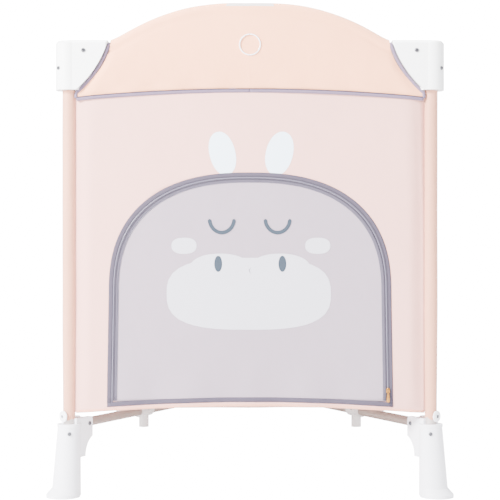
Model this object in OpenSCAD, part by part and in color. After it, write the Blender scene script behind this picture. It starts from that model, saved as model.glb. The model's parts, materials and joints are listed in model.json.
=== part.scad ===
// Folding travel playpen: corner posts, hinged rails, folding base, fabric walls and floor.
// Origin at the middle of the footprint on the floor, +Z up, zipped door on the -Y end.

/* [Frame] */
// Distance between the corner post centres across an end
post_span_x = 606; // [590:2:620]
// Distance between the corner post centres along a side
post_span_y = 1180; // [1140:4:1220]
// Height of the rail pivots in the corner caps
rail_z = 744; // [736:1:750]
// Height of the arched end rails at their middle
arch_z = 811; // [804:1:816]
// Radius of the arched part of the end rails
arch_r = 327; // [322:1:332]
// Outside radius of the corner post tubes
post_r = 10; // [9:0.5:10]
// Outside radius of the top rail tubes
rail_r = 9; // [8:0.25:9]
// Outside radius of the base arm tubes
arm_r = 8; // [7:0.25:8]
// Height of the base arm pivots
arm_z = 118; // [115:1:120]
// Wall thickness of the tubes
tube_t = 1.2; // [0.8:0.1:1.6]

/* [Caps and feet] */
// Height of the top of the corner caps
cap_top = 762; // [761:0.5:764]
// Length of a cap wing from the post centre
cap_reach = 65.5; // [62:0.5:67]
// Radius of the rounded corner of a cap
cap_r = 22; // [21:0.5:23]
// Height of the collar of a foot
foot_top = 121; // [118:1:124]
// Radius of the foot sole
sole_r = 28; // [26:0.5:30]

/* [Fabric] */
// Thickness of the fabric walls
wall_t = 2.2; // [1.5:0.1:2.4]
// Height of the lower edge of the fabric walls at the corners
hem_z = 148; // [146:1:150]
// Height of the lower edge of the rail covers at the corners
cover_z = 671.5; // [668:0.5:673]
// Half width of the door panel where its arch begins
door_a = 226.5; // [215:0.5:228]
// Height of the door arch above the height where it begins
door_b = 192; // [170:1:200]

/* [Mattress] */
// Thickness of the mattress sections
mat_t = 21; // [15:1:25]
// Half width of the mattress
mat_x = 288; // [280:1:289]

/* [Hidden] */
$fn = 48;
px = post_span_x / 2;
py = post_span_y / 2;
pivot_in = 26;
lock_pin = 25;
pin_r = 2.6;
eye_r = 3.05;
// end rail centre line: sloping start, upward bend, arch, short flat
flat = 30;
bend_r = 60;
slope = 3;
arch_cz = arch_z - arch_r;
along = [-cos(slope), sin(slope)];
up = [sin(slope), cos(slope)];
start = [px - pivot_in, rail_z];
gap = start + bend_r * up - [flat, arch_cz];
ga = gap * along;
bend_t = -ga - sqrt(ga * ga - gap * gap + pow(arch_r + bend_r, 2));
bend_c = start + bend_t * along + bend_r * up;
bend_a = atan2(bend_c[1] - arch_cz, bend_c[0] - flat);
// cap edge curve, measured from the post centre
cap_c = [-100, cap_top + 49];
cap_edge = 174;
cap_low = cap_top - 83;
cap_face = cap_r - 1.2;
// base
hub_pin = [22.3, 19.4];
arm_az = atan2(py - hub_pin[1], px - hub_pin[0]);
ear_at = 40;
hub_at = norm([px - hub_pin[0], py - hub_pin[1]]);
joint_at = 245;
deck_z = 148;
// fabric
cover_in = 13;
cover_out = 15.5;
arch_over = 15;
wall_in = 10.4;
floor_t = 2.8;
door_z = 340;
door_low = 160;
door_n = 2.45;
// mattress
mat_z = deck_z + floor_t + 0.6;
mat_len = 289.5;
mat_step = 291.5;

// Stand a corner part at one of the four posts, its +X and +Y pointing inwards
module at_corner(sx, sy) {
    translate([sx * px, sy * py, 0])
        mirror([sx > 0 ? 1 : 0, 0, 0])
            mirror([0, sy > 0 ? 1 : 0, 0])
                children();
}

// Stand a part drawn along +X onto an end rail line (s = -1 front, 1 back)
module at_end(s) {
    translate([0, s * py, 0])
        children();
}

// Stand a part drawn along +X onto a side rail line (s = -1 left, 1 right)
module at_side(s) {
    translate([s * px, 0, 0])
        rotate([0, 0, 90])
            children();
}

// Turn a part round to the other half of its line
module half(s) {
    rotate([0, 0, s < 0 ? 180 : 0])
        children();
}

// Stand a part drawn along +X onto a base arm line, its start at the post
module at_arm(sx, sy) {
    translate([sx * px, sy * py, 0])
        rotate([0, 0, atan2(-sy * sin(arm_az), -sx * cos(arm_az))])
            children();
}

// Extrude a drawing of X against height along Y, from y0 to y1
module upright(y0, y1) {
    translate([0, y1, 0])
        rotate([90, 0, 0])
            linear_extrude(y1 - y0)
                children();
}

// Rectangle with round corners
module rounded(x0, x1, y0, y1, r) {
    translate([x0 + r, y0])
        square([x1 - x0 - 2 * r, y1 - y0]);
    translate([x0, y0 + r])
        square([x1 - x0, y1 - y0 - 2 * r]);
    for (x = [x0 + r, x1 - r])
        for (y = [y0 + r, y1 - r])
            translate([x, y])
                circle(r);
}

// Straight rod in the plane of a rail
module rod(a, b, r) {
    d = b - a;
    translate([a[0], 0, a[1]])
        rotate([0, 90 - atan2(d[1], d[0]), 0])
            cylinder(r = r, h = norm(d));
}

// Pin, bore or knuckle across a rail
module across(at, r, w) {
    translate([at[0], w / 2, at[1]])
        rotate([90, 0, 0])
            cylinder(r = r, h = w);
}

// Dome head with a cross recess at z = 0, shank below
module screw(head, shank) {
    difference() {
        union() {
            cylinder(r = head, h = 1.2);
            translate([0, 0, 1.2])
                cylinder(r1 = head, r2 = head * 0.62, h = 1.1);
        }
        for (a = [0, 90])
            rotate([0, 0, a])
                translate([-head * 0.5, -0.6, 1.1])
                    cube([head, 1.2, 2]);
    }
    translate([0, 0, -shank])
        cylinder(r = pin_r, h = shank);
}

module post(sx, sy) {
    color([0.80, 0.78, 0.77])
        at_corner(sx, sy)
            difference() {
                translate([0, 0, 60])
                    cylinder(r = post_r, h = cap_top - 82);
                translate([0, 0, 59])
                    cylinder(r = post_r - tube_t, h = cap_top);
            }
}

// One wing of a cap, drawn along +X
module cap_wing() {
    intersection() {
        upright(-40, 40)
            intersection() {
                translate([0, cap_low])
                    square([cap_reach, cap_top - cap_low]);
                translate(cap_c)
                    circle(cap_edge, $fn = 96);
            }
        linear_extrude(cap_top + 10)
            polygon([[0, -cap_face], [cap_reach - 3, -cap_face], [cap_reach, 3 - cap_face],
                [cap_reach, 12], [cap_reach - 2, 14], [0, 14]]);
        rotate([90, 0, 90])
            translate([0, 0, -10])
                linear_extrude(cap_reach + 20)
                    polygon([[-cap_face, cap_low - 10], [-cap_face, cap_top - 5], [3.5 - cap_face, cap_top - 1],
                        [7 - cap_face, cap_top], [11, cap_top], [14, cap_top - 3], [14, cap_low - 10]]);
    }
}

module cap(sx, sy) {
    color([0.96, 0.97, 0.98])
        at_corner(sx, sy)
            difference() {
                union() {
                    translate([0, 0, cap_low])
                        cylinder(r = cap_r, h = cap_top - cap_low - 5);
                    translate([0, 0, cap_top - 5])
                        cylinder(r1 = cap_r, r2 = cap_r - 3.5, h = 4);
                    cap_wing();
                    mirror([1, -1, 0])
                        cap_wing();
                }
                translate([0, 0, cap_low - 1])
                    cylinder(r = post_r + 0.3, h = cap_top - 22 - cap_low + 1);
                for (side = [0, 1])
                    mirror([side, -side, 0]) {
                        translate([12.5, -rail_r - 0.6, cap_low - 10])
                            cube([cap_reach, 2 * rail_r + 1.2, cap_top - 5 - cap_low + 10]);
                        across([pivot_in, rail_z], pin_r + 0.3, 60);
                    }
                rotate([0, 0, 45])
                    translate([0, 0, 715])
                        rotate([0, -90, 0])
                            cylinder(r = pin_r + 0.3, h = 40);
            }
}

// Two-walled ear that holds the end of a base arm, drawn along +X
module ear() {
    upright(-14.5, 14.5)
        difference() {
            union() {
                translate([0, 64])
                    square([50, 58]);
                translate([0, 64])
                    square([42, 66]);
                translate([42, 122])
                    circle(8);
            }
            translate([62, 64])
                circle(34, $fn = 72);
        }
}

module foot(sx, sy) {
    color([0.93, 0.93, 0.95])
        at_corner(sx, sy)
            difference() {
                union() {
                    hull() {
                        translate([-4, -4, 2])
                            cylinder(r = 24, h = 10, $fn = 64);
                        translate([0, 0, foot_top - 3])
                            cylinder(r = 19, h = 0.5, $fn = 64);
                    }
                    translate([0, 0, foot_top - 5])
                        cylinder(r = 20, h = 5, $fn = 64);
                    hull() {
                        translate([-9, -9, 0])
                            cylinder(r = sole_r, h = 5, $fn = 64);
                        translate([-4.2, -4.2, 15])
                            cylinder(r = 23.5, h = 0.5, $fn = 64);
                    }
                    rotate([0, 0, arm_az])
                        ear();
                }
                translate([0, 0, 60])
                    cylinder(r = post_r + 0.3, h = 100);
                rotate([0, 0, arm_az]) {
                    translate([30.6, -arm_r - 0.6, arm_z - arm_r - 0.5])
                        cube([40, 2 * arm_r + 1.2, 60]);
                    across([ear_at, arm_z], pin_r + 0.3, 60);
                }
                translate([3, -30, 106])
                    rotate([-90, 0, 0])
                        cylinder(r = pin_r + 0.3, h = 24);
            }
}

// Pivot and fixing screws of one corner
module screws(sx, sy) {
    color([0.62, 0.63, 0.65])
        at_corner(sx, sy) {
            translate([pivot_in, -cap_face, rail_z])
                rotate([90, 0, 0])
                    screw(3.6, 34);
            translate([-cap_face, pivot_in, rail_z])
                rotate([0, -90, 0])
                    screw(3.6, 34);
            rotate([0, 0, 45])
                translate([-cap_r, 0, 715])
                    rotate([0, -90, 0])
                        screw(3.2, 11.5);
            rotate([0, 0, arm_az])
                translate([ear_at, -14.5, arm_z])
                    rotate([90, 0, 0])
                        screw(3.6, 28);
            translate([3, -20.2, 106])
                rotate([90, 0, 0])
                    screw(3.2, 9.5);
        }
}

// Round button that holds the fabric sleeve on the post
module fabric_button(sx, sy) {
    color([0.95, 0.95, 0.96])
        at_corner(sx, sy)
            rotate([0, 0, 45])
                translate([-11.7, 0, 134])
                    rotate([0, -90, 0]) {
                        difference() {
                            union() {
                                cylinder(r = 9.5, h = 1.8);
                                translate([0, 0, 1.8])
                                    cylinder(r1 = 9.5, r2 = 6.5, h = 1.2);
                            }
                            for (a = [45, 135])
                                rotate([0, 0, a])
                                    translate([-3, -0.7, 1.9])
                                        cube([6, 1.4, 2]);
                        }
                        translate([0, 0, -1.6])
                            cylinder(r = 2, h = 1.6);
                    }
}

// One edge of the arched half rail at distance g above its centre line
function rail_edge(g, a, t) = concat(
    [for (i = [0:14]) let (v = a + (bend_a - a) * i / 14)
        [flat + (arch_r + g) * cos(v), arch_cz + (arch_r + g) * sin(v)]],
    [for (i = [0:6]) let (v = bend_a + 180 + (90 - slope - bend_a) * i / 6)
        bend_c + (bend_r - g) * [cos(v), sin(v)]],
    [start + t * along + g * up]);

// Box section of the arched half rail, drawn on the +X half
module arched_band(g, a, t) {
    low = rail_edge(-g, a, t);
    n = len(low);
    polygon(concat(rail_edge(g, a, t), [for (i = [n - 1:-1:0]) low[i]]));
}

module end_rail(s, h) {
    w = rail_r - 0.5;
    color([0.80, 0.78, 0.77])
        at_end(s)
            half(h)
                difference() {
                    union() {
                        upright(-rail_r, rail_r)
                            arched_band(w, 90, 0);
                        translate([lock_pin, -rail_r, arch_z - w])
                            cube([flat - lock_pin + 0.1, 2 * rail_r, 2 * w]);
                        across(start, rail_r, 2 * rail_r);
                        across([lock_pin, arch_z], rail_r, 2 * rail_r);
                    }
                    upright(tube_t - rail_r, rail_r - tube_t)
                        arched_band(w - tube_t, 88.8, 12);
                    across(start + 16 * along, 1.5, 40);
                    across(start, eye_r, 40);
                    across([lock_pin, arch_z], eye_r, 40);
                }
}

module side_rail(s, h) {
    a = [py - pivot_in, rail_z];
    b = [lock_pin, rail_z];
    color([0.80, 0.78, 0.77])
        at_side(s)
            half(h)
                difference() {
                    union() {
                        difference() {
                            rod(b, a, rail_r);
                            rod(b + [12, 0], a - [12, 0], rail_r - tube_t);
                            across(a - [18, 0], 1.5, 40);
                        }
                        across(a, rail_r, 2 * rail_r);
                        across(b, rail_r, 2 * rail_r);
                    }
                    across(a, eye_r, 40);
                    across(b, eye_r, 40);
                }
}

// Housing that carries the two half rails of one side, open upwards at its ends
module lock_housing(z) {
    difference() {
        upright(-12.5, 12.5)
            rounded(-40, 40, z - 15, z + 12.5, 5);
        for (s = [-1, 1])
            half(s)
                translate([12.6, -rail_r - 0.4, z - rail_r - 0.5])
                    cube([40, 2 * rail_r + 0.8, 40]);
        translate([0, 0, z - 16])
            cylinder(r = 8.4, h = 17);
    }
    for (s = [-1, 1])
        across([s * lock_pin, z], 2.8, 24);
}

module end_lock(s) {
    color([0.88, 0.88, 0.89])
        at_end(s)
            lock_housing(arch_z);
}

module side_lock(s) {
    color([0.88, 0.88, 0.89])
        at_side(s)
            lock_housing(rail_z);
}

module release(z) {
    translate([0, 0, z - 18.5])
        cylinder(r = 8, h = 13.5);
    translate([0, 0, z - 20])
        cylinder(r1 = 6.5, r2 = 8, h = 1.5);
}

module end_release(s) {
    color([0.70, 0.68, 0.74])
        at_end(s)
            release(arch_z);
}

module side_release(s) {
    color([0.70, 0.68, 0.74])
        at_side(s)
            release(rail_z);
}

module base_arm(sx, sy) {
    a = [ear_at, arm_z];
    b = [hub_at, arm_z];
    color([0.78, 0.74, 0.71])
        at_arm(sx, sy)
            difference() {
                    union() {
                        difference() {
                            rod(a, b, arm_r);
                            rod(a + [12, 0], b - [12, 0], arm_r - tube_t);
                            across(b - [18, 0], 1.5, 40);
                        }
                        across(a, arm_r, 2 * arm_r);
                        across(b, arm_r, 2 * arm_r);
                    }
                    across(a, eye_r, 40);
                    across(b, eye_r, 40);
                }
}

// Sleeve on a base arm with a short leg below and a saddle under the floor
module connector(sx, sy) {
    color([0.90, 0.89, 0.89])
        at_corner(sx, sy)
            rotate([0, 0, arm_az])
                translate([joint_at, 0, arm_z]) {
                    difference() {
                        union() {
                            translate([-20, 0, 0])
                                rotate([0, 90, 0])
                                    cylinder(r = 11, h = 40);
                            translate([-15, -9, 5])
                                cube([30, 18, deck_z - arm_z - 5]);
                            translate([0, 0, -30])
                                cylinder(r = 9, h = 28);
                        }
                        translate([-21, 0, 0])
                            rotate([0, 90, 0])
                                cylinder(r = arm_r + 0.15, h = 42);
                        translate([0, 0, -31])
                            cylinder(r = 6.5, h = 19);
                    }
                    translate([0, -12, 0])
                        rotate([90, 0, 0])
                            cylinder(r1 = 3.2, r2 = 2.2, h = 1);
                    translate([0, -10.5, 0])
                        rotate([90, 0, 0])
                            cylinder(r = 3.2, h = 1.6);
                }
}

module base_hub() {
    color([0.90, 0.89, 0.89]) {
        difference() {
            translate([0, 0, 100])
                linear_extrude(deck_z - 100)
                    rounded(-38, 38, -36, 36, 10);
            for (sx = [-1, 1])
                for (sy = [-1, 1])
                    at_corner(sx, sy)
                        rotate([0, 0, arm_az])
                            translate([hub_at - 60, -arm_r - 0.5, 90])
                                cube([60 + arm_r + 0.6, 2 * arm_r + 1, arm_z + arm_r + 0.8 - 90]);
            for (sy = [-1, 1])
                translate([0, 0, 90])
                    linear_extrude(arm_z + arm_r + 0.8 - 90)
                        polygon([[hub_pin[0] - 11.5, sy * (hub_pin[1] - 3.8)],
                            [hub_pin[0] + 3.6, sy * (hub_pin[1] - 11.5)],
                            [60, sy * (hub_pin[1] - 11.5)], [60, sy * 60],
                            [hub_pin[0] + 11.4, sy * 60]]);
            cylinder(r = 5, h = 200);
        }
        for (sy = [-1, 1])
            at_corner(-1, sy)
                rotate([0, 0, arm_az])
                    across([hub_at, arm_z], pin_r, 2 * arm_r + 3);
    }
}

// Lower edge of an end cover and of an end wall
function arc_z(x, low, rise, w) = low + rise * (1 - pow(x / w, 2));

// Outline under the arch, grown by g
module arch_area(g) {
    for (s = [-1, 1])
        translate([s * flat, arch_cz])
            circle(arch_r + g, $fn = 160);
    translate([-flat, cover_z])
        square([2 * flat, arch_z + g - cover_z]);
    translate([-px, 500])
        square([2 * px, rail_z + g + 0.5 - 500]);
}

module cap_edges(x, r) {
    for (s = [-1, 1])
        translate([s * (x - cap_c[0]), cap_c[1]])
            circle(r, $fn = 96);
}

module end_cover(s) {
    color([0.96, 0.90, 0.85])
        at_end(s)
            difference() {
                upright(-cover_out, cover_out)
                    difference() {
                        intersection() {
                            arch_area(arch_over);
                            polygon(concat(
                                [for (i = [-10:10]) let (x = i * (px - 17) / 10)
                                    [x, arc_z(x, cover_z, 13.5, px - 17)]],
                                [[px - 17, 900], [17 - px, 900]]));
                        }
                        cap_edges(px, cap_edge + 6);
                    }
                upright(-cover_in, cover_in)
                    arch_area(arch_over - 2.3);
            }
}

module side_cover(s) {
    top = rail_z + arch_over + 0.5;
    color([0.96, 0.90, 0.85])
        at_side(s)
            difference() {
                upright(-cover_out, cover_out)
                    difference() {
                        translate([17 - py, cover_z])
                            square([2 * py - 34, top - cover_z]);
                        cap_edges(py, cap_edge + 6);
                    }
                translate([-py, -cover_in, cover_z - 10])
                    cube([2 * py, 2 * cover_in, top - 2.3 - cover_z + 10]);
            }
}

// Arched outline of the door panel, grown by g
module door_area(g) {
    polygon(concat(
        [for (i = [0:32]) let (a = i * 180 / 32, c = cos(a))
            [sign(c) * (door_a + g) * pow(abs(c), 2 / door_n),
             door_z + (door_b + g) * pow(abs(sin(a)), 2 / door_n)]],
        [[-door_a - 3 - g, door_low - 2 * g], [door_a + 3 + g, door_low - 2 * g]]));
}

module end_wall(s) {
    w = px - 9;
    color([0.94, 0.90, 0.89])
        at_end(s)
            upright(s < 0 ? -wall_in - wall_t : wall_in, s < 0 ? -wall_in : wall_in + wall_t)
                difference() {
                    polygon(concat(
                        [for (i = [-8:8]) [i * w / 8, arc_z(i * w / 8, hem_z, 6, w)]],
                        [for (i = [8:-1:-8]) [i * w / 8, arc_z(i * w / 8, cover_z + 6, 13.5, w)]]));
                    if (s < 0)
                        door_area(1);
                }
}

module side_wall(s) {
    color([0.94, 0.90, 0.89])
        translate([s < 0 ? -px - wall_in - wall_t : px + wall_in, 9 - py, hem_z])
            cube([wall_t, 2 * py - 18, cover_z + 6 - hem_z]);
}

module floor_fabric() {
    color([0.90, 0.86, 0.84])
        difference() {
            translate([-px - wall_in + 0.6, -py - wall_in + 0.6, deck_z + 0.2])
                cube([2 * (px + wall_in - 0.6), 2 * (py + wall_in - 0.6), floor_t]);
            for (sx = [-1, 1])
                for (sy = [-1, 1])
                    at_corner(sx, sy)
                        translate([-20, -20, 0])
                            cube([20.6 + post_r, 20.6 + post_r, 400]);
        }
}

module mattress(i) {
    color([0.90, 0.87, 0.88])
        translate([0, (i - 2.5) * mat_step, mat_z])
            linear_extrude(mat_t)
                rounded(-mat_x, mat_x, -mat_len / 2, mat_len / 2, 6);
}

module door_flap() {
    color([0.89, 0.89, 0.91])
        at_end(-1)
            upright(-wall_in - wall_t, -wall_in)
                door_area(0);
}

module zip_slider() {
    color([0.80, 0.66, 0.38])
        at_end(-1) {
            translate([231, -wall_in - wall_t - 3.4, 171])
                cube([7, 3.0, 11]);
            translate([232.2, -wall_in - wall_t - 4.8, 173])
                cube([4.6, 1.5, 7]);
            difference() {
                upright(-wall_in - wall_t - 5.9, -wall_in - wall_t - 4.6)
                    rounded(232, 237, 159, 176, 2.2);
                across([234.5, 162.5], 1.2, 60);
            }
        }
}

post(-1, -1);  // front_left_post
post(1, -1);  // front_right_post
post(-1, 1);  // back_left_post
post(1, 1);  // back_right_post
cap(-1, -1);  // front_left_cap
cap(1, -1);  // front_right_cap
cap(-1, 1);  // back_left_cap
cap(1, 1);  // back_right_cap
foot(-1, -1);  // front_left_foot
foot(1, -1);  // front_right_foot
foot(-1, 1);  // back_left_foot
foot(1, 1);  // back_right_foot
screws(-1, -1);  // front_left_screws
screws(1, -1);  // front_right_screws
screws(-1, 1);  // back_left_screws
screws(1, 1);  // back_right_screws
fabric_button(-1, -1);  // front_left_button
fabric_button(1, -1);  // front_right_button
fabric_button(-1, 1);  // back_left_button
fabric_button(1, 1);  // back_right_button
end_rail(-1, -1);  // front_rail_left
end_rail(-1, 1);  // front_rail_right
end_rail(1, -1);  // back_rail_left
end_rail(1, 1);  // back_rail_right
side_rail(-1, -1);  // left_rail_front
side_rail(-1, 1);  // left_rail_back
side_rail(1, -1);  // right_rail_front
side_rail(1, 1);  // right_rail_back
end_lock(-1);  // front_lock
end_lock(1);  // back_lock
side_lock(-1);  // left_lock
side_lock(1);  // right_lock
end_release(-1);  // front_lock_button
end_release(1);  // back_lock_button
side_release(-1);  // left_lock_button
side_release(1);  // right_lock_button
base_arm(-1, -1);  // front_left_arm
base_arm(1, -1);  // front_right_arm
base_arm(-1, 1);  // back_left_arm
base_arm(1, 1);  // back_right_arm
connector(-1, -1);  // front_left_connector
connector(1, -1);  // front_right_connector
connector(-1, 1);  // back_left_connector
connector(1, 1);  // back_right_connector
base_hub();
end_wall(-1);  // front_wall
end_wall(1);  // back_wall
side_wall(-1);  // left_wall
side_wall(1);  // right_wall
end_cover(-1);  // front_cover
end_cover(1);  // back_cover
side_cover(-1);  // left_cover
side_cover(1);  // right_cover
floor_fabric();
mattress(1);  // mattress_1
mattress(2);  // mattress_2
mattress(3);  // mattress_3
mattress(4);  // mattress_4
door_flap();
zip_slider();
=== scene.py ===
import bpy
import json
import math
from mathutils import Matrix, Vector, noise

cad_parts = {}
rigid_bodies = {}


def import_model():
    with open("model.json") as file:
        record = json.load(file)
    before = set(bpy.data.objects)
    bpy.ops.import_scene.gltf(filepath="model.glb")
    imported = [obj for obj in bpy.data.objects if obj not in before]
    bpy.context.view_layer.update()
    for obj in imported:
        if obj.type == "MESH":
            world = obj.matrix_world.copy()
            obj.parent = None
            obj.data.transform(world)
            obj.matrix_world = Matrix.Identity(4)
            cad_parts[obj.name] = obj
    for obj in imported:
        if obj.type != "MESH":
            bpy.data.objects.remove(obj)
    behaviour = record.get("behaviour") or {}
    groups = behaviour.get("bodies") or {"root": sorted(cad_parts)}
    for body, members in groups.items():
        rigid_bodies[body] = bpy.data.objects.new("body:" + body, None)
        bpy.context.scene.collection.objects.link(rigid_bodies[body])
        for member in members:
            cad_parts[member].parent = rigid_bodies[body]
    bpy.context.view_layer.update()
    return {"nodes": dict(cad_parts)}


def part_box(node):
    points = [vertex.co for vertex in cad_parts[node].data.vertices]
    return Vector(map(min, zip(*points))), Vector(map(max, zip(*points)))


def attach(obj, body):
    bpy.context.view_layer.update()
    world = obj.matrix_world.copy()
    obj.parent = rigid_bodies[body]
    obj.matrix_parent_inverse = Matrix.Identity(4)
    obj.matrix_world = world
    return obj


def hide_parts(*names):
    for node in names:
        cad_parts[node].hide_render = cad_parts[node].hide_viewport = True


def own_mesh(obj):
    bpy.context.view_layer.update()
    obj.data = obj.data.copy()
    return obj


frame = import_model()


def mid(node, k):
    lo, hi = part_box(node)
    return (lo[k] + hi[k]) / 2


# frame, in metres: post axes, caps, feet, rails, and the edges of the cloth
PX = mid("front_right_post", 0)
PY = mid("back_right_post", 1)
CAP_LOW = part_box("front_left_cap")[0].z
CAP_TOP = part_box("front_left_cap")[1].z
FOOT_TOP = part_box("front_left_foot")[1].z - 0.009
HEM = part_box("left_wall")[0].z
COVER_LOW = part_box("left_cover")[0].z
COVER_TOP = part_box("left_cover")[1].z
ARCH_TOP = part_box("front_cover")[1].z
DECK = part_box("floor_fabric")[0].z

# door panel: its widest height, half width, rise above that height, and the roundness of its arch
DOOR_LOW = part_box("door_flap")[0].z
DOOR_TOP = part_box("door_flap")[1].z
DOOR_Z = 0.340
DOOR_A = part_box("door_flap")[1].x - 0.003
DOOR_B = DOOR_TOP - DOOR_Z
DOOR_N = 2.45
DOOR_SPREAD = 0.003
BAND_HALF = 0.2385

# walls: half widths, cloth thickness, how far they stand out, and the curves of their edges
END_HALF = 0.2925
SIDE_HALF = PY - 0.0105
CLOTH = 0.0016
TAPE = 0.0006
WALL_OUT = 0.0113
WALL_DIP = 0.0085
TOP_TUCK = 0.008
TOP_RISE = 0.0135
LOW_RISE = 0.0120
LOW_DROP = 0.0072
FRONT_SEED, BACK_SEED, LEFT_SEED, RIGHT_SEED = 1.7, 4.1, 2.6, 5.3


def smooth(a, b, x):
    t = max(0.0, min(1.0, (x - a) / (b - a)))
    return t * t * (3 - 2 * t)


def soft_noise(x, y, z, scale):
    return noise.noise(Vector((x * scale, y * scale, z * scale)))


# ---------------------------------------------------------------- materials


def new_mat(name):
    m = bpy.data.materials.new(name)
    m.use_nodes = True
    nt = m.node_tree
    return m, nt, nt.nodes["Principled BSDF"]


def add_node(nt, kind, **values):
    n = nt.nodes.new(kind)
    for k, v in values.items():
        setattr(n, k, v)
    return n


def math_node(nt, op, a, b=None):
    n = add_node(nt, "ShaderNodeMath", operation=op)
    for i, v in enumerate((a, b)):
        if v is None:
            continue
        if isinstance(v, (int, float)):
            n.inputs[i].default_value = v
        else:
            nt.links.new(v, n.inputs[i])
    return n.outputs[0]


def varied(nt, base, col, amount, scale):
    """Base colour that drifts a little from place to place."""
    coord = add_node(nt, "ShaderNodeTexCoord")
    tex = add_node(nt, "ShaderNodeTexNoise")
    tex.inputs["Scale"].default_value = scale
    tex.inputs["Detail"].default_value = 4
    nt.links.new(coord.outputs["Object"], tex.inputs["Vector"])
    ramp = add_node(nt, "ShaderNodeMix", data_type="RGBA")
    dark = [max(0, c * (1 - amount)) for c in col]
    light = [min(1, c * (1 + amount * 0.5)) for c in col]
    ramp.inputs[6].default_value = (*dark, 1)
    ramp.inputs[7].default_value = (*light, 1)
    nt.links.new(tex.outputs["Fac"], ramp.inputs[0])
    nt.links.new(ramp.outputs[2], base.inputs["Base Color"])
    return coord


def fabric(name, col, pitch=0.0011, rough=0.85, sheen=0.35, bump=0.25, amount=0.04, crumple=0.35):
    """Plain woven cloth: two crossed threads, a slow crumple and a soft sheen."""
    m, nt, bsdf = new_mat(name)
    coord = varied(nt, bsdf, col, amount, 9)
    bsdf.inputs["Roughness"].default_value = rough
    bsdf.inputs["Sheen Weight"].default_value = sheen
    bsdf.inputs["Sheen Roughness"].default_value = 0.5
    bsdf.inputs["Specular IOR Level"].default_value = 0.25
    split = add_node(nt, "ShaderNodeSeparateXYZ")
    nt.links.new(coord.outputs["Object"], split.inputs[0])
    across = math_node(nt, "ADD", split.outputs[0], split.outputs[1])
    k = 2 * math.pi / pitch
    warp = math_node(nt, "SINE", math_node(nt, "MULTIPLY", across, k))
    weft = math_node(nt, "SINE", math_node(nt, "MULTIPLY", split.outputs[2], k))
    weave = math_node(nt, "MULTIPLY", warp, weft)
    b1 = add_node(nt, "ShaderNodeBump")
    b1.inputs["Strength"].default_value = bump
    b1.inputs["Distance"].default_value = 0.0003
    nt.links.new(weave, b1.inputs["Height"])
    wrinkle = add_node(nt, "ShaderNodeTexNoise")
    wrinkle.inputs["Scale"].default_value = 14
    wrinkle.inputs["Detail"].default_value = 3
    nt.links.new(coord.outputs["Object"], wrinkle.inputs["Vector"])
    b2 = add_node(nt, "ShaderNodeBump")
    b2.inputs["Strength"].default_value = crumple
    b2.inputs["Distance"].default_value = 0.004
    nt.links.new(wrinkle.outputs["Fac"], b2.inputs["Height"])
    nt.links.new(b2.outputs["Normal"], b1.inputs["Normal"])
    nt.links.new(b1.outputs["Normal"], bsdf.inputs["Normal"])
    return m


def plastic(name, col, rough=0.35, grain=0.05, coat=0.0):
    m, nt, bsdf = new_mat(name)
    coord = varied(nt, bsdf, col, 0.02, 25)
    bsdf.inputs["Roughness"].default_value = rough
    bsdf.inputs["Coat Weight"].default_value = coat
    bsdf.inputs["Subsurface Weight"].default_value = 0.05
    bsdf.inputs["Subsurface Radius"].default_value = (0.004, 0.004, 0.004)
    tex = add_node(nt, "ShaderNodeTexNoise")
    tex.inputs["Scale"].default_value = 1500
    nt.links.new(coord.outputs["Object"], tex.inputs["Vector"])
    b = add_node(nt, "ShaderNodeBump")
    b.inputs["Strength"].default_value = grain
    b.inputs["Distance"].default_value = 0.0002
    nt.links.new(tex.outputs["Fac"], b.inputs["Height"])
    nt.links.new(b.outputs["Normal"], bsdf.inputs["Normal"])
    return m


def metal(name, col, rough=0.3, metallic=1.0):
    m, nt, bsdf = new_mat(name)
    coord = varied(nt, bsdf, col, 0.05, 60)
    bsdf.inputs["Metallic"].default_value = metallic
    tex = add_node(nt, "ShaderNodeTexNoise")
    tex.inputs["Scale"].default_value = 400
    nt.links.new(coord.outputs["Object"], tex.inputs["Vector"])
    gloss = add_node(nt, "ShaderNodeMapRange")
    gloss.inputs["To Min"].default_value = max(0.05, rough - 0.08)
    gloss.inputs["To Max"].default_value = rough + 0.1
    nt.links.new(tex.outputs["Fac"], gloss.inputs["Value"])
    nt.links.new(gloss.outputs["Result"], bsdf.inputs["Roughness"])
    return m


def netting(name, col):
    """Fine knitted net, open between its threads."""
    m, nt, bsdf = new_mat(name)
    coord = varied(nt, bsdf, col, 0.03, 12)
    bsdf.inputs["Roughness"].default_value = 0.7
    bsdf.inputs["Sheen Weight"].default_value = 0.3
    split = add_node(nt, "ShaderNodeSeparateXYZ")
    nt.links.new(coord.outputs["Object"], split.inputs[0])
    along = math_node(nt, "ADD", split.outputs[0], split.outputs[1])
    up = split.outputs[2]
    k = math.pi / 0.0026
    a = math_node(nt, "MULTIPLY", math_node(nt, "ADD", along, up), k)
    b = math_node(nt, "MULTIPLY", math_node(nt, "SUBTRACT", along, up), k)
    ra = math_node(nt, "ABSOLUTE", math_node(nt, "SINE", a))
    rb = math_node(nt, "ABSOLUTE", math_node(nt, "SINE", b))
    thread = math_node(nt, "LESS_THAN", math_node(nt, "MINIMUM", ra, rb), 0.42)
    alpha = math_node(nt, "ADD", math_node(nt, "MULTIPLY", thread, 0.45), 0.22)
    nt.links.new(alpha, bsdf.inputs["Alpha"])
    return m


def printed(name, col):
    """Flat ink on cloth."""
    return fabric(name, col, bump=0.15, sheen=0.15, amount=0.02, crumple=0.2)


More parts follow.
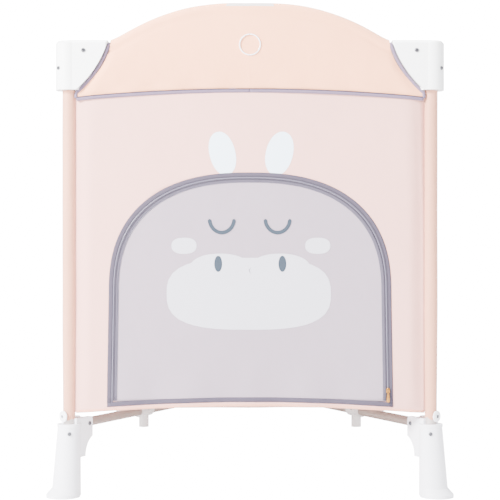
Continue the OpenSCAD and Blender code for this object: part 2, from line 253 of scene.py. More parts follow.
M = {
    "wall": fabric("wall_cloth", (0.73, 0.395, 0.34), crumple=0.6),
    "cover": fabric("cover_cloth", (0.93, 0.42, 0.235), sheen=0.2, crumple=0.75),
    "hem": fabric("hem_cloth", (0.72, 0.34, 0.24), crumple=0.3),
    "sleeve": fabric("sleeve_satin", (0.62, 0.29, 0.19), rough=0.5, sheen=0.4, crumple=0.3),
    "door": fabric("door_cloth", (0.31, 0.25, 0.30), sheen=0.1, crumple=0.6),
    "trim": fabric("lilac_trim", (0.160, 0.116, 0.180), pitch=0.0016, sheen=0.15, bump=0.5, crumple=0.25),
    "band": fabric("door_band", (0.066, 0.054, 0.080), pitch=0.0016, sheen=0.1, bump=0.5, crumple=0.25),
    "tape": fabric("zip_tape", (0.090, 0.078, 0.108), pitch=0.0012, sheen=0.1, bump=0.5, crumple=0.15),
    # dark thread along the zip, and also the painted shadow line over the covers' piping
    "dark": fabric("zip_stitching_and_painted_shadow", (0.045, 0.038, 0.055), pitch=0.0012, sheen=0.05, crumple=0.1),
    "teeth": plastic("zip_coil", (0.10, 0.09, 0.13), rough=0.4),
    "floor": fabric("floor_cloth", (0.70, 0.50, 0.45)),
    "quilt": fabric("quilted_cloth", (0.55, 0.46, 0.48), crumple=0.8),
    "net": netting("net_window", (0.70, 0.55, 0.52)),
    "white_print": printed("white_print", (0.69, 0.80, 0.92)),
    "pale_print": printed("pale_print", (0.49, 0.48, 0.54)),
    "slate_print": printed("slate_print", (0.030, 0.042, 0.060)),
    "cap": plastic("cap_white", (0.96, 0.97, 0.98), rough=0.22, coat=0.3),
    "foot": plastic("foot_white", (0.80, 0.80, 0.86), rough=0.42),
    "grey": plastic("connector_grey", (0.60, 0.58, 0.58), rough=0.4),
    "release": plastic("release_lilac", (0.20, 0.17, 0.24), rough=0.4),
    "button": plastic("button_white", (0.88, 0.88, 0.93), rough=0.25, coat=0.3),
    "tube": metal("tube_paint", (0.50, 0.44, 0.42), rough=0.35, metallic=0.4),
    "arm": metal("arm_paint", (0.26, 0.20, 0.175), rough=0.4, metallic=0.15),
    "screw": metal("screw_steel", (0.13, 0.13, 0.145), rough=0.3),
    "brass": metal("zip_brass", (0.42, 0.20, 0.05), rough=0.25),
}

# ---------------------------------------------------------------- meshes


def add(name, verts, faces, mat, thick=0.0):
    me = bpy.data.meshes.new(name)
    me.from_pydata([tuple(v) for v in verts], [], faces)
    me.validate()
    for p in me.polygons:
        p.use_smooth = True
    me.materials.append(mat)
    o = bpy.data.objects.new(name, me)
    bpy.context.scene.collection.objects.link(o)
    if thick:
        s = o.modifiers.new("thickness", "SOLIDIFY")
        s.thickness = thick
        s.offset = 0
    return o


def grid(nu, nv, fn, wrap_u=False, wrap_v=False):
    """Points fn(i, j) joined into quads."""
    verts = [fn(i, j) for i in range(nu) for j in range(nv)]
    faces = []
    for i in range(nu if wrap_u else nu - 1):
        for j in range(nv if wrap_v else nv - 1):
            a, b = i * nv + j, ((i + 1) % nu) * nv + j
            c, d = ((i + 1) % nu) * nv + (j + 1) % nv, i * nv + (j + 1) % nv
            faces.append((a, b, c, d))
    return verts, faces


def inner_ring(count, step, first=0):
    """Face that closes the small ring left at the middle of a disc."""
    return tuple(first + i * step for i in reversed(range(count)))


def tube(name, pts, r, mat, sides=14, closed=False):
    """Round cord of radius r along points."""
    pts = [Vector(p) for p in pts]
    n = len(pts)
    rings = []
    side = None
    for i, p in enumerate(pts):
        before = pts[(i - 1) % n] if (i or closed) else p
        after = pts[(i + 1) % n] if (i < n - 1 or closed) else p
        t = (after - before).normalized()
        if side is None:
            side = t.cross(Vector((0.31, 0.47, 0.83))).normalized()
        side = (side - t * side.dot(t)).normalized()
        other = t.cross(side)
        rings.append([p + r * (math.cos(a) * side + math.sin(a) * other)
                      for a in (2 * math.pi * k / sides for k in range(sides))])
    verts = [v for ring in rings for v in ring]
    faces = []
    for i in range(n if closed else n - 1):
        for k in range(sides):
            a, b = i * sides + k, i * sides + (k + 1) % sides
            c, d = ((i + 1) % n) * sides + (k + 1) % sides, ((i + 1) % n) * sides + k
            faces.append((a, b, c, d))
    if not closed:
        faces.append(tuple(reversed(range(sides))))
        faces.append(tuple(range((n - 1) * sides, n * sides)))
    return add(name, verts, faces, mat)


# places on the four sides: along the side, outwards, up
def place_front(s, n, z):
    return (s, -PY - n, z)


def place_back(s, n, z):
    return (s, PY + n, z)


def place_left(s, n, z):
    return (-PX - n, s, z)


def place_right(s, n, z):
    return (PX + n, s, z)


def wall_out(s, z, half, seed):
    """How far a wall stands out from the line of its posts: it dips to the sleeves and waves a little."""
    dip = WALL_DIP * smooth(half - 0.040, half - 0.0120, abs(s)) ** 1.3
    low = 1 - smooth(HEM, HEM + 0.09, z)
    wave = 0.0007 * math.sin(s * 17 + seed) + 0.0012 * soft_noise(s, seed, z, 5.5)
    ripple = low * (0.0012 * math.sin(s * 61 + seed) + 0.002 * soft_noise(s, seed, z, 16))
    return WALL_OUT - dip + (wave + ripple) * (1 - smooth(half - 0.04, half - 0.012, abs(s)))


def door_radius(a, g):
    """Distance from the door's middle to its outline grown by g, in direction a."""
    c, s = abs(math.cos(a)), math.sin(a)
    aa, bb = DOOR_A + g, DOOR_B + g
    if s >= 0:
        return ((c / aa) ** DOOR_N + (s / bb) ** DOOR_N) ** (-1 / DOOR_N)
    s = -s
    drop = DOOR_Z - DOOR_LOW + g
    slant = s * DOOR_SPREAD / drop
    side = aa / max(1e-6, c - slant) if c > slant + 1e-5 else math.inf
    return min(side, drop / max(s, 1e-6))


def window_radius(a, hw, hh, power):
    """Distance from a window's middle to its rounded outline, in direction a."""
    c, s = abs(math.cos(a)), abs(math.sin(a))
    return ((c / hw) ** power + (s / hh) ** power) ** (-1 / power)


def box_radius(a, half, up, down):
    """Distance from a point of a rectangle to its edge, in direction a."""
    c, s = math.cos(a), math.sin(a)
    r1 = half / max(1e-9, abs(c))
    r2 = (up if s > 0 else down) / max(1e-9, abs(s))
    return min(r1, r2)


def angles(n, corners):
    """Even directions round a circle, the nearest ones moved onto the corners."""
    out = [2 * math.pi * i / n for i in range(n)]
    for c in corners:
        c %= 2 * math.pi
        k = min(range(len(out)), key=lambda i: abs(out[i] - c))
        out[k] = c
    return sorted(out)


def end_low(s):
    """Lower edge of an end wall."""
    return LOW_RISE * (1 - (s / (PX - 0.009)) ** 2) - LOW_DROP


def end_cover_low(s):
    """Lower edge of an end cover."""
    return COVER_LOW - 0.0055 + TOP_RISE * (1 - (s / (PX - 0.015)) ** 2)


def edge_shift(s, z, t, half, centre_z, up, down):
    """Shift of a wall's point that brings its lower and upper edges onto their curves."""
    if z < centre_z:
        return end_low(s) * t * ((centre_z - z) / down) ** 0.5
    return TOP_RISE * (1 - (s / half) ** 2) * t * ((z - centre_z) / up) ** 0.5


def holed_wall(name, place, out, half, centre_z, hole, arc, steps, rings, corners=()):
    """Cloth between two posts, with a hole of the given radius; arc says how far its edges curve."""
    top = COVER_LOW + TOP_TUCK
    up, down = top - centre_z, centre_z - HEM
    outer = [math.atan2(z, x) for z in (up, -down) for x in (half, -half)]
    ang = angles(steps, outer + list(corners))

    def point(i, j):
        a = ang[i]
        t = j / (rings - 1)
        r = hole(a) * (1 - t) + box_radius(a, half, up, down) * t
        s, z = r * math.cos(a), centre_z + r * math.sin(a)
        z += arc * edge_shift(s, z, t, half, centre_z, up, down)
        return place(s, out(s, z), z)

    return add(name, *grid(len(ang), rings, point, wrap_u=True), M["wall"], thick=CLOTH)


def disc(name, place, radius, centre_z, out, mat, corners=(), rings=22, steps=200, thick=0.0):
    """Filled outline: rings of points from the middle outwards."""
    ang = angles(steps, corners)

    def point(i, j):
        a = ang[i]
        t = (j + 0.02) / (rings - 1 + 0.02)
        r = radius(a) * t
        s, z = r * math.cos(a), centre_z + r * math.sin(a)
        return place(s, out(s, z), z)

    verts, faces = grid(len(ang), rings, point, wrap_u=True)
    faces.append(inner_ring(len(ang), rings))
    return add(name, verts, faces, mat, thick=thick)


def strip(name, place, inner, outer, out, mat, lift, thick=0.0):
    """Flat tape between two lines of (s, z) points, with slightly rolled edges."""
    rows = 5

    def point(i, j):
        t = j / (rows - 1)
        s = inner[i][0] * (1 - t) + outer[i][0] * t
        z = inner[i][1] * (1 - t) + outer[i][1] * t
        edge = 0.0003 * (1 - (2 * t - 1) ** 4)
        return place(s, out(s, z) + lift + edge, z)

    return add(name, *grid(len(inner), rows, point), mat, thick=thick)


# ---------------------------------------------------------------- front wall and door

WALL_BODY, DOOR_BODY = "front_left_corner", "door_flap"

def front_out(s, z):
    return wall_out(s, z, PX, FRONT_SEED)


def fold_x(o, body):
    """Ride on a body, with a mesh of its own."""
    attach(o, body)
    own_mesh(o)
    return o


def fold_y(o, body):
    """Ride on a body, with a mesh of its own."""
    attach(o, body)
    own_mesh(o)
    return o


door_low_corner = math.atan2(DOOR_LOW - DOOR_Z, DOOR_A + DOOR_SPREAD)
door_corners = [door_low_corner, math.pi - door_low_corner]
front = holed_wall("front_wall_cloth", place_front, front_out, END_HALF, DOOR_Z,
                   lambda a: door_radius(a, 0.0012), arc=1, steps=220, rings=16, corners=door_corners)
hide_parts("front_wall")
fold_x(front, WALL_BODY)

door = disc("door_cloth", place_front, lambda a: door_radius(a, 0.0004), DOOR_Z, front_out, M["door"],
            corners=door_corners, rings=30, steps=240, thick=CLOTH)
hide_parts("door_flap")
fold_x(door, DOOR_BODY)


def zip_line(g, low):
    """Points of the zip's line, grown by g, from the lower left round the top to the lower right."""
    left = []
    straight_steps, arch_steps = 14, 72
    for i in range(straight_steps):
        z = low + (DOOR_Z - low) * i / straight_steps
        left.append((-(DOOR_A + g + DOOR_SPREAD * (DOOR_Z - z) / (DOOR_Z - DOOR_LOW)), z))
    arc = []
    for i in range(arch_steps + 1):
        a = math.pi * (1 - i / arch_steps)
        c, s = math.cos(a), math.sin(a)
        across = math.copysign((DOOR_A + g) * abs(c) ** (2 / DOOR_N), c)
        arc.append((across, DOOR_Z + (DOOR_B + g) * abs(s) ** (2 / DOOR_N)))
    right = [(-x, z) for x, z in reversed(left)]
    return left + arc + right


TAPE_LOW = {WALL_BODY: DOOR_LOW - 0.004, DOOR_BODY: DOOR_LOW + 0.001}


def tape(name, g0, g1, mat, lift, body):
    """Strip along the zip, between its line grown by g0 and by g1."""
    low = TAPE_LOW[body]
    o = strip(name, place_front, zip_line(g0, low), zip_line(g1, low), front_out, mat, lift, thick=TAPE)
    return fold_x(o, body)


tape("zip_tape_outer", 0.0016, 0.0092, M["band"], 0.0012, WALL_BODY)
tape("zip_tape_inner", -0.0066, -0.0010, M["tape"], 0.0012, DOOR_BODY)
tape("zip_edge_inner", -0.0072, -0.0065, M["teeth"], 0.0013, DOOR_BODY)
tape("zip_edge_outer", 0.0024, 0.0035, M["dark"], 0.0016, WALL_BODY)
tape("zip_edge_middle", -0.0031, -0.0013, M["dark"], 0.0016, DOOR_BODY)

coil = [place_front(s, front_out(s, z) + 0.0014, z) for s, z in zip_line(0.0006, DOOR_LOW - 0.002)]
fold_x(tube("zip_coil", coil, 0.0013, M["teeth"], sides=10), WALL_BODY)


def band_low(s):
    """Lower edge of the band under the door."""
    return DOOR_LOW - 0.0100 + 0.0085 * (1 - (s / 0.238) ** 2)


def spread(half, steps):
    """Even places from -half to half."""
    return [half * (2 * i / steps - 1) for i in range(steps + 1)]


low_edge = [(s, band_low(s)) for s in spread(BAND_HALF, 60)]
high_edge = [(s, z + 0.0078) for s, z in low_edge]
band = strip("door_bottom_band", place_front, low_edge, high_edge, front_out, M["band"], 0.0013, thick=0.0008)
fold_x(band, WALL_BODY)

hem_places = spread(END_HALF - 0.0015, 80)
hem_line = [place_front(s, front_out(s, HEM), HEM + end_low(s) + 0.0004) for s in hem_places]
fold_x(tube("front_hem", hem_line, 0.0024, M["hem"], sides=10), WALL_BODY)

# ---------------------------------------------------------------- zip slider and its pull


def pebble(name, centre, half, power, mat, waist=0.0):
    """Closed rounded block; waist narrows its top in proportion."""

    def soft(v):
        return math.copysign(abs(v) ** (2 / power), v)

    def at(i, j):
        u, v = 2 * math.pi * i / 36, math.pi * ((j + 0.02) / 18.04 - 0.5)
        high = soft(math.sin(v))
        wide = soft(math.cos(v)) * (1 - waist * (high + 1) / 2)
        return (centre[0] + half[0] * wide * soft(math.cos(u)),
                centre[1] + half[1] * soft(math.cos(v)) * soft(math.sin(u)),
                centre[2] + half[2] * high)

    verts, faces = grid(36, 19, at, wrap_u=True)
    faces.append(inner_ring(36, 19))
    faces.append(tuple(reversed(inner_ring(36, 19, first=18))))
    return add(name, verts, faces, mat)


lo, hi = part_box("zip_slider")
slide_x, slide_z = lo.x - 0.0010, (lo.z + hi.z) / 2
slide_y = -PY - front_out(slide_x, slide_z) - 0.0030
pull_y = slide_y - 0.0024
pull_low = lo.z - 0.0008
pull_high = hi.z - 0.0062
zip_body = pebble("zip_slider_body", (slide_x, slide_y, hi.z - 0.0040), (0.0037, 0.0021, 0.0046), 3.2,
                  M["brass"], waist=0.25)
zip_pull = pebble("zip_pull", (slide_x, pull_y, (pull_low + pull_high) / 2),
                  (0.0030, 0.0007, (pull_high - pull_low) / 2), 3.6, M["brass"], waist=0.45)
loop = [(slide_x + 0.0013 * math.sin(a), pull_y - 0.0004 * math.cos(a), pull_high + 0.0012 * math.cos(a))
        for a in (2 * math.pi * k / 24 for k in range(24))]
zip_ring = tube("zip_pull_ring", loop, 0.0005, M["brass"], sides=8, closed=True)
for o in (zip_body, zip_pull, zip_ring):
    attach(o, "zip_slider")
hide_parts("zip_slider")

# ---------------------------------------------------------------- printed sleepy face


def blob(name, s0, z0, a, b, power, turn, mat, lift, body):
    """Printed oval: its middle, half sizes, squareness and turn."""
    c, s = math.cos(turn), math.sin(turn)

    def at(i, j):
        ang = 2 * math.pi * i / 72
        t = (j + 0.02) / 9.02
        ca, sa = math.cos(ang), math.sin(ang)
        r = ((abs(ca) / a) ** power + (abs(sa) / b) ** power) ** (-1 / power) * t
        u, v = r * ca, r * sa
        x, z = s0 + u * c - v * s, z0 + u * s + v * c
        return place_front(x, front_out(x, z) + lift, z)

    verts, faces = grid(72, 10, at, wrap_u=True)
    faces.append(inner_ring(72, 10))
    return fold_x(add(name, verts, faces, mat), body)


def smile(name, s0, z0, rx, rz, width, mat, lift, body):
    """Closed eye: a line that sags between two round ends."""
    pts, rows, n = [], 6, 40
    for i in range(n + 1):
        a = math.pi + math.pi * i / n
        from_end = min(1.0, min(i, n - i) / n * math.pi * rx / (width / 2))
        w = width / 2 * math.sqrt(max(0.0, 1 - (1 - from_end) ** 2))
        pts.append((a, max(w, 0.0002)))

    def at(i, j):
        a, w = pts[i]
        t = 2 * j / (rows - 1) - 1
        x = s0 + (rx + t * w) * math.cos(a)
        z = z0 + (rz + t * w) * math.sin(a)
        return place_front(x, front_out(x, z) + lift, z)

    return fold_x(add(name, *grid(n + 1, rows, at), mat), body)


PALE, SLATE, WHITE = M["pale_print"], M["slate_print"], M["white_print"]
blob("print_muzzle", -0.002, 0.339, 0.137, 0.060, 2.9, 0.0, PALE, 0.00115, DOOR_BODY)
blob("print_muzzle_lift_left", -0.050, 0.378, 0.052, 0.028, 2.2, 0.0, PALE, 0.00118, DOOR_BODY)
blob("print_muzzle_lift_right", 0.050, 0.378, 0.052, 0.028, 2.2, 0.0, PALE, 0.00118, DOOR_BODY)
blob("print_cheek_left", -0.110, 0.419, 0.021, 0.0135, 2.4, 0.0, PALE, 0.0012, DOOR_BODY)
blob("print_cheek_right", 0.113, 0.419, 0.021, 0.0135, 2.4, 0.0, PALE, 0.0012, DOOR_BODY)
blob("print_nose_left", -0.053, 0.389, 0.0066, 0.0135, 2.0, 0.0, SLATE, 0.0014, DOOR_BODY)
blob("print_nose_right", 0.054, 0.389, 0.0066, 0.0135, 2.0, 0.0, SLATE, 0.0014, DOOR_BODY)
smile("print_eye_left", -0.047, 0.464, 0.0205, 0.0230, 0.0062, SLATE, 0.0014, DOOR_BODY)
smile("print_eye_right", 0.046, 0.464, 0.0205, 0.0230, 0.0062, SLATE, 0.0014, DOOR_BODY)
blob("print_ear_left", -0.046, 0.573, 0.0215, 0.0370, 2.1, math.radians(14), WHITE, 0.0011, WALL_BODY)
blob("print_ear_right", 0.049, 0.573, 0.0225, 0.0370, 2.1, math.radians(-14), WHITE, 0.0011, WALL_BODY)

on_wall = ("zip_tape_outer", "zip_edge_outer", "zip_coil", "door_bottom_band", "front_hem",
           "print_ear_left", "print_ear_right")
on_door = ("zip_tape_inner", "zip_edge_inner", "zip_edge_middle")
front_extras = [bpy.data.objects[n] for n in on_wall]
door_extras = [o for o in bpy.data.objects if o.name.startswith("print_") and o not in front_extras]
door_extras += [bpy.data.objects[n] for n in on_door]

# ---------------------------------------------------------------- back wall and side walls


def windowed_wall(name, place, half, line, window, seed, arc, fold, body):
    """Cloth round a net window, with tape at the seam; window is (height, half sizes, roundness)."""
    centre_z, hw, hh, power = window

    def out(s, z):
        return wall_out(s, z, line, seed)

    def rim(g):
        return lambda a: window_radius(a, hw + g, hh + g, power)

    cloth = holed_wall(name + "_cloth", place, out, half, centre_z, rim(0.0), arc, steps=240, rings=10)
    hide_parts(name)
    net = disc(name + "_net", place, rim(0.002), centre_z, out, M["net"], rings=16)
    turns = [2 * math.pi * i / 180 for i in range(181)]

    def outline(g):
        return [(rim(g)(a) * math.cos(a), centre_z + rim(g)(a) * math.sin(a)) for a in turns]

    seam = strip(name + "_seam", place, outline(-0.003), outline(0.007), out, M["trim"], 0.0012, thick=TAPE)
    hem = [place(s, out(s, HEM), HEM + arc * end_low(s) + 0.0012) for s in spread(half, 120)]
    hem_tube = tube(name + "_hem", hem, 0.0022, M["hem"], sides=8)
    for o in (cloth, net, seam, hem_tube):
        fold(o, body)


END_WINDOW = (0.405, 0.225, 0.180, 3.2)
SIDE_WINDOW = (0.400, 0.515, 0.185, 4.2)
windowed_wall("back_wall", place_back, END_HALF, PX, END_WINDOW, BACK_SEED, 1, fold_x, "back_left_corner")
windowed_wall("left_wall", place_left, SIDE_HALF, PY, SIDE_WINDOW, LEFT_SEED, 0, fold_y, "front_left_corner")
windowed_wall("right_wall", place_right, SIDE_HALF, PY, SIDE_WINDOW, RIGHT_SEED, 0, fold_y,
              "front_right_corner")

# ---------------------------------------------------------------- rail covers

# a cover ends along a circle just clear of its cap's curved edge: its middle from the post, height, radius
CAP_C = -0.100
CAP_CZ = CAP_TOP + 0.049
CAP_EDGE = 0.1762
COVER_HALF = 0.0150
ARCH_R = 0.342
END_COVER_FLAT = 0.7600


def arch_high(s):
    """Upper outline of an end cover."""
    x = max(0.0, abs(s) - 0.030)
    arch = ARCH_TOP - ARCH_R + math.sqrt(max(1e-9, ARCH_R ** 2 - x * x))
    blend = 0.006
    return blend * math.log(math.exp((arch - END_COVER_FLAT) / blend) + 1) + END_COVER_FLAT


def nip(h, t):
    """How far a cover's lower corner is drawn in to its post; t runs from the cap to the middle."""
    return 0.0038 * (1 - smooth(0.0, 0.10, t)) * (1 - smooth(0.0, 0.5, h))


def cover_half(name, place, line, side, low, high, node, body):
    """Padded cloth from one side of the wall over the rail to the other, from a cap to the middle."""
    cols, rows, roof = 64, 26, 12
    clip = line - 0.0135
    shift = 0.0 if side < 0 else 3.1

    def edge(h):
        zl, zh = low(line - 0.03), high(line - 0.07)
        z = zl + (zh - zl) * h
        return min(clip, line - CAP_C - math.sqrt(max(0.0, CAP_EDGE ** 2 - (CAP_CZ - z) ** 2)))

    def point(i, j):
        t = (i / (cols - 1)) ** 0.9
        if j < rows:
            h, face = j / (rows - 1), 1
        elif j < rows + roof:
            h, face = 1.0, 0
        else:
            h, face = 1 - (j - rows - roof) / (rows - 1), -1
        s = edge(h) * (1 - t)
        zl, zt = low(s), high(s)
        zh = zt - COVER_HALF
        if face == 0:
            a = math.pi * (j - rows + 0.5) / roof
            lump = 0.0006 * soft_noise(s, shift, 0.3, 18)
            return place(side * s, (COVER_HALF + lump) * math.cos(a), zh + (COVER_HALF + lump) * math.sin(a))
        z = zl + (zh - zl) * h
        n = 0.0134 + (COVER_HALF - 0.0134) * h ** 0.6 - nip(h, t)
        n += 0.0048 * math.sin(math.pi * h) * smooth(0, 0.05, t)
        seam = zt - 0.021 - z
        n -= 0.0016 * math.exp(-(seam / 0.0022) ** 2)
        n += 0.0011 * soft_noise(s, shift + z, z, 11) * math.sin(math.pi * min(1, h))
        n += 0.0008 * math.sin(s * 90 + z * 40) * math.exp(-((h - 0.05) / 0.12) ** 2)
        n += 0.0007 * soft_noise(s, z, shift, 40) * math.exp(-(seam / 0.010) ** 2)
        return place(side * s, face * n, z)

    o = add(name, *grid(cols, 2 * rows + roof, point, wrap_v=True), M["cover"])
    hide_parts(node)
    parts = [o]
    for face, tag in ((1, "outer"), (-1, "inner")):
        line_low, line_painted_shadow = [], []
        for i in range(70):
            s = edge(0.0) * (1 - i / 69)
            drawn = nip(0.0, i / 69)
            line_low.append(place(side * s, face * (0.0128 - drawn), low(s) - 0.0018))
            # a thin dark line in the crease just over each piping: painted shadow where the cover's lower
            # bulge shades the piping
            line_painted_shadow.append(place(side * s, face * (0.0151 - drawn), low(s) + 0.0009))
        parts.append(tube(f"{name}_piping_{tag}", line_low, 0.0032, M["trim"], sides=12))
        parts.append(tube(f"{name}_stitch_{tag}", line_painted_shadow, 0.0008, M["dark"], sides=8))
        line_end = []
        for i in range(30):
            h = i / 29
            s = edge(h) + 0.0008
            zl, zh = low(s), high(s) - 0.006
            n = 0.0136 + 0.0014 * h - 0.004 * smooth(0.88, 1.0, h) - nip(h, 0.0)
            line_end.append(place(side * s, face * n, zl + (zh - zl) * h))
        parts.append(tube(f"{name}_end_piping_{tag}", line_end, 0.0028, M["trim"], sides=12))
    for p in parts:
        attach(p, body)
        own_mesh(p)


def side_cover_low(_):
    return COVER_LOW - 0.004


def side_cover_high(_):
    return COVER_TOP


for end, place, y in (("front", place_front, -PY), ("back", place_back, PY)):
    for sg, hand in ((-1, "left"), (1, "right")):
        cover_half(f"{end}_cover_{hand}", place, PX, sg, end_cover_low, arch_high, f"{end}_cover",
                   f"{end}_rail_{hand}")
for side, place, x in (("left", place_left, -PX), ("right", place_right, PX)):
    for sg, hand in ((-1, "front"), (1, "back")):
        cover_half(f"{side}_cover_{hand}", place, PY, sg, side_cover_low, side_cover_high, f"{side}_cover",
                   f"{side}_rail_{hand}")

# the badge is sewn on across the middle, so each half follows its own half of the cover
BADGE_R = 0.0172
for sg, hand in ((-1, "left"), (1, "right")):
    ring = [place_front(sg * BADGE_R * math.sin(a), 0.0203, 0.7535 + BADGE_R * math.cos(a))
            for a in (math.pi * k / 36 for k in range(37))]
    badge = tube(f"plain_ring_badge_{hand}", ring, 0.0011, M["button"], sides=10)
    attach(badge, f"front_rail_{hand}")
    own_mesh(badge)

# ---------------------------------------------------------------- post sleeves

CORNERS = (("front_left", -1, -1), ("front_right", 1, -1), ("back_left", -1, 1), ("back_right", 1, 1))
for nm, sx, sy in CORNERS:
    rows, around = 90, 40
    z0, z1 = FOOT_TOP + 0.001, CAP_LOW - 0.0004

    def sleeve(i, j):
        t = i / (rows - 1)
        z = z0 + (z1 - z0) * t
        a = 2 * math.pi * j / around
        r = 0.0104 + 0.0011 * smooth(0.0, 0.35, t)
        r += 0.0003 * soft_noise(math.cos(a), math.sin(a) + sx + sy, z * 9, 1.4)
        r -= 0.0006 * math.exp(-(t / 0.02) ** 2)
        return (sx * PX + r * math.cos(a), sy * PY + r * math.sin(a), z)

    o = add(f"{nm}_sleeve", *grid(rows, around, sleeve, wrap_v=True), M["sleeve"])
    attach(o, f"{nm}_corner")

for nm, sx, sy in CORNERS:
    lo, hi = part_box(f"{nm}_button")
    centre = (lo + hi) / 2
    post = Vector((sx * PX, sy * PY, centre.z))
    out_dir = (centre - post).normalized()
    reach = max(abs(hi.x - post.x), abs(lo.x - post.x)) / abs(out_dir.x)
    base = post + out_dir * (reach - 0.0083)
    side_dir = Vector((-out_dir.y, out_dir.x, 0))

    def head(i, j):
        a = 2 * math.pi * i / 32
        r = 0.0031 * (j + 0.02) / 7.02
        in_slot = min(abs(math.sin(a)), abs(math.cos(a))) * r < 0.0005
        lift_here = 0.0012 * (1 - ((j + 0.02) / 7.02) ** 2) - 0.0006 * in_slot
        return base + out_dir * lift_here + side_dir * (r * math.cos(a)) + Vector((0, 0, r * math.sin(a)))

    verts, faces = grid(32, 8, head, wrap_u=True)
    faces.append(inner_ring(32, 8))
    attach(add(f"{nm}_button_screw", verts, faces, M["screw"]), f"{nm}_corner")

# ---------------------------------------------------------------- floor cloth

fx, fy = PX + 0.0105, PY + 0.0105
POST_CLEAR = 0.0125
END_SEED = {-1: FRONT_SEED, 1: BACK_SEED}
SIDE_SEED = {-1: LEFT_SEED, 1: RIGHT_SEED}
lo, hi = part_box("front_right_arm")
for nm, sx, sy in CORNERS:

    def quarter(i, j):
        s, t = i / 30, j / 50
        x = s * (PX + wall_out(sy * fy * t, DECK, PY, SIDE_SEED[sx]) - 0.0004)
        y = t * (PY + wall_out(sx * fx * s, DECK, PX, END_SEED[sy]) - 0.0004)
        if x > PX - POST_CLEAR and y > PY - POST_CLEAR:
            x = PX - POST_CLEAR + (x - PX + POST_CLEAR) * 0.02
        z = DECK + 0.0014 + 0.0006 * soft_noise(x * sx, y * sy, 0.2, 12)
        return (sx * x, sy * y, z)

    o = add(f"floor_cloth_{nm}", *grid(31, 51, quarter), M["floor"], thick=0.0016)
    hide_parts("floor_fabric")
    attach(o, f"{nm}_arm")
    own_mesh(o)

# ---------------------------------------------------------------- mattress


def quilting(x, y):
    """Depth of the stitched diamonds at a point of a section, from its middle."""
    step = 0.072
    deep = 0.0
    for d in (x + y, x - y):
        k = abs(((d / step) % 1.0) - 0.5) * 2
        deep = max(deep, math.exp(-((1 - k) / 0.13) ** 2))
    return 0.0026 * deep


def swollen_pad(hx, hy, thick):
    """Padded section about the origin: a slimmer block, swelled as cloth with pressure and held to size."""
    bpy.ops.mesh.primitive_cube_add(size=1)
    block = bpy.context.object
    block.scale = (2 * hx - 0.006, 2 * hy - 0.006, thick - 0.009)
    bpy.ops.object.transform_apply(location=False, rotation=False, scale=True)
    bevel = block.modifiers.new("round", "BEVEL")
    bevel.width = 0.0045
    bevel.segments = 3
    voxel = block.modifiers.new("voxel", "REMESH")
    voxel.mode = "VOXEL"
    voxel.voxel_size = 0.005
    depsgraph = bpy.context.evaluated_depsgraph_get()
    start = bpy.data.meshes.new_from_object(block.evaluated_get(depsgraph))
    block.modifiers.clear()
    block.data = start
    before = [v.co.copy() for v in start.vertices]
    cloth = block.modifiers.new("swell", "CLOTH")
    cloth.settings.quality = 4
    cloth.settings.use_pressure = True
    cloth.settings.uniform_pressure_force = 4
    cloth.settings.effector_weights.gravity = 0
    cloth.collision_settings.use_collision = False
    cloth.collision_settings.use_self_collision = False
    scene = bpy.context.scene
    for frame_number in range(1, 17):
        scene.frame_set(frame_number)
    depsgraph = bpy.context.evaluated_depsgraph_get()
    done = bpy.data.meshes.new_from_object(block.evaluated_get(depsgraph))
    block.modifiers.clear()
    scene.frame_set(1)
    after = [v.co.copy() for v in done.vertices]
    cap = 0.0055
    points = []
    for p, q in zip(before, after):
        move = q - p
        if move.length > cap:
            move = move * (cap / move.length)
        r = p + move
        r.x = max(-hx, min(hx, r.x))
        r.y = max(-hy, min(hy, r.y))
        edge = min(1.0, max(0.0, (hx - abs(r.x)) / 0.016)) * min(1.0, max(0.0, (hy - abs(r.y)) / 0.016))
        if r.z > 0:
            r.z = min(r.z, thick / 2 * (0.62 + 0.38 * math.sin(edge * math.pi / 2)))
            r.z -= quilting(r.x, r.y) * smooth(0.0, 1.0, edge) * smooth(0.0, thick * 0.25, r.z)
        else:
            r.z = max(r.z, -thick / 2)
        points.append(tuple(r))
    faces = [tuple(f.vertices) for f in start.polygons]
    bpy.data.objects.remove(block, do_unlink=True)
    return points, faces


def pad_rim(points, hx, hy, count=180):
    """Outermost points of a pad round its middle height, smoothed into one closed line."""
    best = [None] * count
    for x, y, z in points:
        if abs(z) > 0.006:
            continue
        k = int((math.atan2(y / hy, x / hx) / (2 * math.pi) + 0.5) * count) % count
        if best[k] is None or math.hypot(x, y) > math.hypot(*best[k]):
            best[k] = (x, y)
    line = [Vector(p) for p in best if p is not None]
    for _ in range(2):
        line = [(line[i - 1] + 2 * line[i] + line[(i + 1) % len(line)]) / 4 for i in range(len(line))]
    return line


def pillow(name, node, shape):
    """Mattress section with its piping, in place of a CAD one and riding on the body of that name."""
    lo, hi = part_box(node)
    mid_point = (lo + hi) / 2
    verts = [(p[0] + mid_point.x, p[1] + mid_point.y, p[2] + mid_point.z
              + 0.0005 * soft_noise(p[0], p[1] + mid_point.y, 0.4, 13)) for p in shape[0]]
    o = add(name, verts, shape[1], M["quilt"])
    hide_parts(node)
    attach(o, node)
    hx, hy = (hi.x - lo.x) / 2, (hi.y - lo.y) / 2
    rim = [(mid_point.x + q.x, mid_point.y + q.y, mid_point.z) for q in pad_rim(shape[0], hx, hy)]
    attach(tube(name + "_piping", rim, 0.0020, M["trim"], sides=8, closed=True), node)


lo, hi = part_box("mattress_1")
pad_shape = swollen_pad((hi.x - lo.x) / 2 - 0.0006, (hi.y - lo.y) / 2 - 0.0006, hi.z - lo.z)
for i in (1, 2, 3, 4):
    pillow(f"mattress_pad_{i}", f"mattress_{i}", pad_shape)

# ---------------------------------------------------------------- hard parts' finishes

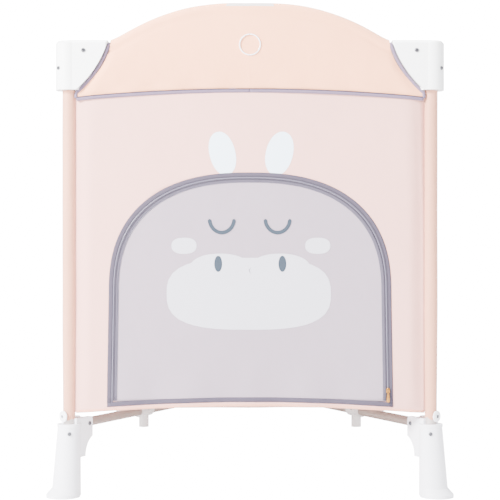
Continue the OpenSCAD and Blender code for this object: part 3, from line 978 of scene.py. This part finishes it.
for o in list(frame["nodes"].values()):
    n = o.name
    if n.endswith("_cap"):
        key = "cap"
    elif n.endswith("_foot"):
        key = "foot"
    elif n.endswith("_screws"):
        key = "screw"
    elif n.endswith("lock_button"):
        key = "release"
    elif n.endswith("_button"):
        key = "button"
    elif n.endswith("_arm"):
        key = "arm"
    elif n.endswith("_connector") or n == "base_hub" or n.endswith("_lock"):
        key = "grey"
    elif n == "zip_slider":
        key = "brass"
    elif n.endswith("_post") or "_rail_" in n:
        key = "tube"
    else:
        continue
    o.data.materials.clear()
    o.data.materials.append(M[key])

# ---------------------------------------------------------------- room, light and camera

# the floor and the world are brighter to the camera than as light on the object
bpy.ops.mesh.primitive_plane_add(size=14, location=(0, 1.5, -0.0005))
floor = bpy.context.object
floor.name = "studio_floor"
mf, ntf, bf = new_mat("studio_floor")
bf.inputs["Base Color"].default_value = (0.93, 0.93, 0.935, 1)
bf.inputs["Roughness"].default_value = 0.9
glow = add_node(ntf, "ShaderNodeEmission")
glow.inputs["Color"].default_value = (1, 1, 1, 1)
glow.inputs["Strength"].default_value = 34.0
ray = add_node(ntf, "ShaderNodeLightPath")
floor_mix = add_node(ntf, "ShaderNodeMixShader")
ntf.links.new(math_node(ntf, "MULTIPLY", ray.outputs["Is Camera Ray"], 0.5), floor_mix.inputs[0])
ntf.links.new(bf.outputs[0], floor_mix.inputs[1])
ntf.links.new(glow.outputs[0], floor_mix.inputs[2])
ntf.links.new(floor_mix.outputs[0], ntf.nodes["Material Output"].inputs[0])
floor.data.materials.append(mf)

world = bpy.data.worlds.new("studio")
bpy.context.scene.world = world
world.use_nodes = True
sky = world.node_tree
back = sky.nodes["Background"]
back.inputs[0].default_value = (1.0, 1.0, 1.0, 1)
back.inputs[1].default_value = 1.9
seen = add_node(sky, "ShaderNodeBackground")
seen.inputs[0].default_value = (1.0, 1.0, 1.0, 1)
seen.inputs[1].default_value = 20.0
path = add_node(sky, "ShaderNodeLightPath")
sky_mix = add_node(sky, "ShaderNodeMixShader")
sky.links.new(path.outputs["Is Camera Ray"], sky_mix.inputs[0])
sky.links.new(back.outputs[0], sky_mix.inputs[1])
sky.links.new(seen.outputs[0], sky_mix.inputs[2])
sky.links.new(sky_mix.outputs[0], sky.nodes["World Output"].inputs[0])


def lamp(name, at, aim, size, power, colour=(1, 1, 1)):
    d = bpy.data.lights.new(name, "AREA")
    d.shape = "RECTANGLE"
    d.size, d.size_y = size
    d.energy = power
    d.color = colour
    o = bpy.data.objects.new(name, d)
    bpy.context.scene.collection.objects.link(o)
    o.location = at
    o.rotation_mode = "QUATERNION"
    o.rotation_quaternion = (Vector(aim) - Vector(at)).to_track_quat("-Z", "Y")


lamp("key", (-2.5, -2.7, 2.1), (0, -0.3, 0.45), (1.1, 1.1), 850)
lamp("fill", (2.2, -3.2, 1.6), (0, -0.3, 0.4), (2.0, 2.0), 35)
lamp("top", (0, 0.2, 3.2), (0, 0, 0.3), (2.4, 2.4), 300)

cam_data = bpy.data.cameras.new("camera")
cam_data.lens = 99.3
cam_data.sensor_width = 36
cam_data.dof.use_dof = False
cam = bpy.data.objects.new("camera", cam_data)
bpy.context.scene.collection.objects.link(cam)
cam.location = (0.0, -PY - 0.012 - 2.30, 0.412)
cam.rotation_mode = "QUATERNION"
cam.rotation_quaternion = Vector((0, 1, 0)).to_track_quat("-Z", "Y")
bpy.context.scene.camera = cam
